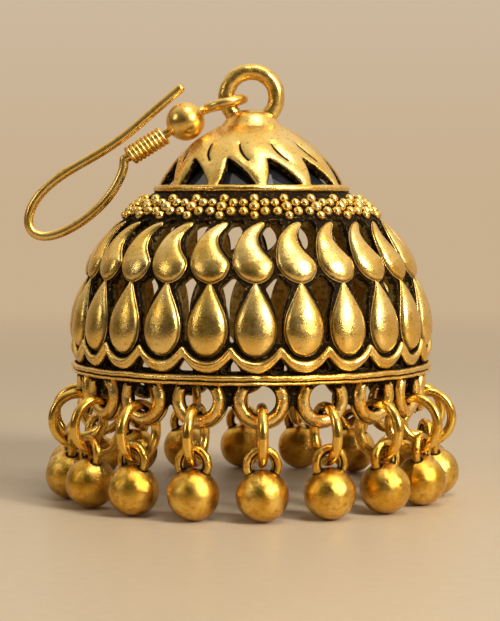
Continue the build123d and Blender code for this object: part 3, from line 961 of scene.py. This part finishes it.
def hook_wire():
    """A round wire along the path, with rounded ends."""
    path = wire_path()
    sides = 20
    along = np.gradient(path, axis=0)
    along /= np.linalg.norm(along, axis=1)[:, None]
    side = np.cross(along[0], (0, 0, 1.0))
    rings = []
    tip = [(cos(radians(k * 18)), sin(radians(k * 18))) for k in range(5)]
    sizes = [(0, -wire_r * c * 0.9, max(s, 0.02)) for c, s in tip]
    sizes += [(i, 0.0, 1.0) for i in range(len(path))]
    sizes += [(len(path) - 1, wire_r * c, max(s, 0.02)) for c, s in reversed(tip)]
    for i, shift, size in sizes:
        side = side - along[i] * (side @ along[i])
        side /= np.linalg.norm(side)
        other = np.cross(along[i], side)
        for k in range(sides):
            b = 2 * pi * k / sides
            rings.append(path[i] + along[i] * shift + (side * cos(b) + other * sin(b)) * wire_r * size)
    count = len(sizes)
    faces = bands([i * sides for i in range(count)], sides)
    faces += [tuple(range(sides)), tuple(reversed(range((count - 1) * sides, count * sides)))]
    return np.array(rings), faces, np.full(len(rings), 1.0)


coil_start = 1.85  # from the bead's middle
coil_length = 3.6
coil_r = 0.64
coil_wire_r = 0.20


def coil():
    """Fine wire wound on the shank behind the bead, thinner at both ends."""
    start = bead_middle + shank * coil_start
    side, other = np.array((0, 1, 0)), np.cross(shank, (0, 1, 0))
    turns, per_turn, sides = 9, 30, 12
    steps = turns * per_turn
    pitch = coil_length / (turns + 1)
    points = []
    for i in range(steps + 1):
        a = 2 * pi * i / per_turn
        away = side * cos(a) + other * sin(a)
        middle = start + shank * (pitch * (0.5 + i / per_turn)) + away * coil_r
        along = shank * pitch / (2 * pi) + (other * cos(a) - side * sin(a)) * coil_r
        along /= np.linalg.norm(along)
        third = np.cross(along, away)
        taper = coil_wire_r * min(1.0, 0.55 + 0.15 * min(i, steps - i))
        turns_of_wire = np.arange(sides) * 2 * pi / sides
        points += [middle + (away * cos(b) + third * sin(b)) * taper for b in turns_of_wire]
    faces = bands([i * sides for i in range(steps + 1)], sides)
    faces += [tuple(range(sides)), tuple(reversed(range(steps * sides, (steps + 1) * sides)))]
    return np.array(points), faces, np.full(len(points), 1.0)


# ---- pieces ---------------------------------------------------------------------------------
make("bell_wall", walls, bell_gold, stands_for=("dome",), merge=0.004)
make("paisleys", paisleys, bell_gold, merge=0.004)
make("teardrops", teardrops, bell_gold, merge=0.004)
make("crescents", crescents, bell_gold)
make("flowers", flowers, bell_gold)
make("rim", rim, bell_gold)
make("rim_loops", loops, bell_gold)
make("rim_webs", webs, bell_gold)
make("crown", crown_shell, bell_gold, stands_for=("crown_cap",), merge=0.004)
make("crown_wire", crown_wire, bell_gold)
make("crown_post", post_head, bell_gold)
make("crown_foot", foot, bell_gold)
make("top_ring", top_ring(), bell_gold)
drop_nodes = [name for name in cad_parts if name.startswith("ball_drop")]
make("ball_drops", ball_drops, ball_gold, stands_for=drop_nodes, merge=0.002)
make("hook_wire", hook_wire(), wire_gold, body="hook", stands_for=("ear_hook",))
make("shank_coil", coil(), wire_gold, body="hook", stands_for=("hook_coil",))

# ---- materials of the CAD nodes. Only the inlay, the bead and the jump rings are seen --------
for name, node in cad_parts.items():
    if name.startswith("jump_ring"):
        material = ring_gold
    elif name == "black_inlay":
        material = enamel
    elif name == "dome":
        material = dome_gold
    else:
        material = wire_gold
    node.data.materials.clear()
    node.data.materials.append(material)

# ---- stage, light and camera --------------------------------------------------------------
HORIZON = (0.58, 0.43, 0.27)
BACKDROP = (0.62, 0.50, 0.37)
CEILING = (0.98, 0.90, 0.78)
SHADE = 0.10  # how light the room is at the near left, beside the far right's 1
LIGHT_SIDE = (0.45, 0.70, 0.55)


def shown_directly(tree):
    """1 for what is seen by the eye, in a reflection or through glass."""
    path = tree.nodes.new("ShaderNodeLightPath")
    total = path.outputs["Is Camera Ray"]
    for name in ("Is Glossy Ray", "Is Transmission Ray"):
        larger = tree.nodes.new("ShaderNodeMath")
        larger.operation = "MAXIMUM"
        tree.links.new(total, larger.inputs[0])
        tree.links.new(path.outputs[name], larger.inputs[1])
        total = larger.outputs[0]
    return total


def side_level(tree, direction):
    """How light the metal sees the room in a direction of unit length. The eye sees it all alike."""
    along = tree.nodes.new("ShaderNodeVectorMath")
    along.operation = "DOT_PRODUCT"
    along.inputs[1].default_value = LIGHT_SIDE
    tree.links.new(direction, along.inputs[0])
    level = tree.nodes.new("ShaderNodeMapRange")
    level.interpolation_type = "SMOOTHSTEP"
    tree.links.new(along.outputs["Value"], level.inputs["Value"])
    for name, value in (("From Min", -0.5), ("From Max", 0.75), ("To Min", SHADE), ("To Max", 1.0)):
        level.inputs[name].default_value = value
    even = tree.nodes.new("ShaderNodeMath")
    even.operation = "MAXIMUM"
    tree.links.new(level.outputs["Result"], even.inputs[0])
    tree.links.new(tree.nodes.new("ShaderNodeLightPath").outputs["Is Camera Ray"], even.inputs[1])
    return even.outputs[0]


floor_sides, floor_r = 96, 3.0
floor_mesh = bpy.data.meshes.new("floor")
floor_turns = [2 * pi * i / floor_sides for i in range(floor_sides)]
floor_mesh.from_pydata(
    [(floor_r * cos(a), floor_r * sin(a), 0) for a in floor_turns],
    [],
    [tuple(range(floor_sides))],
)
floor = bpy.data.objects.new("floor", floor_mesh)
bpy.context.scene.collection.objects.link(floor)
s = Shader("floor_paper")
place = s.node("ShaderNodeTexCoord").outputs["Object"]
fibre = s.noise(900, 4, 0.6, place)
s.plug(s.mix(s.value_ramp(fibre, 0.3, 0.7), (0.60, 0.47, 0.31), (0.63, 0.50, 0.34)), "Base Color")
s.surface.inputs["Roughness"].default_value = 0.45
away = s.node("ShaderNodeVectorMath", {0: place}, operation="LENGTH").outputs["Value"]
bearing = s.node("ShaderNodeVectorMath", {0: place}, operation="NORMALIZE").outputs["Vector"]
far_light = {"Color": (*HORIZON, 1), "Strength": side_level(s.tree, bearing)}
far = s.node("ShaderNodeEmission", far_light).outputs[0]
blend = s.math("MULTIPLY", s.value_ramp(away, 0.05, 0.26), shown_directly(s.tree))
both = s.node("ShaderNodeMixShader", {0: blend})
s.tree.links.new(s.surface.outputs[0], both.inputs[1])
s.tree.links.new(far, both.inputs[2])
s.tree.links.new(both.outputs[0], s.tree.nodes["Material Output"].inputs["Surface"])
floor.data.materials.append(s.material)

world = bpy.data.worlds.new("studio")
bpy.context.scene.world = world
world.use_nodes = True
tree = world.node_tree
room = tree.nodes["Background"]
room.inputs["Color"].default_value = (1.0, 0.93, 0.83, 1)
room.inputs["Strength"].default_value = 0.26
compass = tree.nodes.new("ShaderNodeSeparateXYZ")
direction = tree.nodes.new("ShaderNodeTexCoord").outputs["Generated"]
tree.links.new(direction, compass.inputs[0])
heights = tree.nodes.new("ShaderNodeValToRGB")
tree.links.new(compass.outputs["Z"], heights.inputs["Fac"])
stops = heights.color_ramp.elements
while len(stops) < 4:
    stops.new(0.5)
levels = ((0.0, HORIZON), (0.14, BACKDROP), (0.28, BACKDROP), (0.60, CEILING))
for stop, (place, colour) in zip(stops, levels):
    stop.position = place
    stop.color = (*colour, 1)
backdrop = tree.nodes.new("ShaderNodeBackground")
tree.links.new(heights.outputs["Color"], backdrop.inputs["Color"])
tree.links.new(side_level(tree, direction), backdrop.inputs["Strength"])
choice = tree.nodes.new("ShaderNodeMixShader")
tree.links.new(shown_directly(tree), choice.inputs[0])
tree.links.new(room.outputs[0], choice.inputs[1])
tree.links.new(backdrop.outputs[0], choice.inputs[2])
tree.links.new(choice.outputs[0], tree.nodes["World Output"].inputs["Surface"])


def softbox(name, place, target, size, power, colour):
    """A rectangular lamp at a place in metres, turned to its target."""
    light = bpy.data.lights.new(name, "AREA")
    light.shape = "RECTANGLE"
    light.size, light.size_y = size
    light.energy = power
    light.color = colour
    lamp = bpy.data.objects.new(name, light)
    bpy.context.scene.collection.objects.link(lamp)
    lamp.location = place
    lamp.rotation_mode = "QUATERNION"
    lamp.rotation_quaternion = (Vector(target) - Vector(place)).to_track_quat("-Z", "Y")


middle = (0, 0, 0.016)
softbox("key_right", (0.20, -0.19, 0.16), middle, (0.07, 0.12), power=0.85, colour=(1.0, 0.96, 0.90))
softbox("fill_left", (-0.26, -0.12, 0.14), middle, (0.03, 0.10), power=0.09, colour=(1.0, 0.93, 0.84))
softbox("top", (0.06, -0.08, 0.28), middle, (0.09, 0.09), power=0.24, colour=(1.0, 0.97, 0.93))

camera_data = bpy.data.cameras.new("camera")
camera_data.lens = 112
camera_data.sensor_width = 36
camera_place = (0, -0.155, 0.0236)
camera_aim = Vector((-0.00012, 0, 0.0147))
camera = bpy.data.objects.new("camera", camera_data)
bpy.context.scene.collection.objects.link(camera)
bpy.context.scene.camera = camera
camera.location = camera_place
camera.rotation_mode = "QUATERNION"
camera.rotation_quaternion = (camera_aim - camera.location).to_track_quat("-Z", "Y")
camera_data.clip_start = 0.01
camera_data.clip_end = 20

bpy.context.scene.view_settings.view_transform = "Standard"
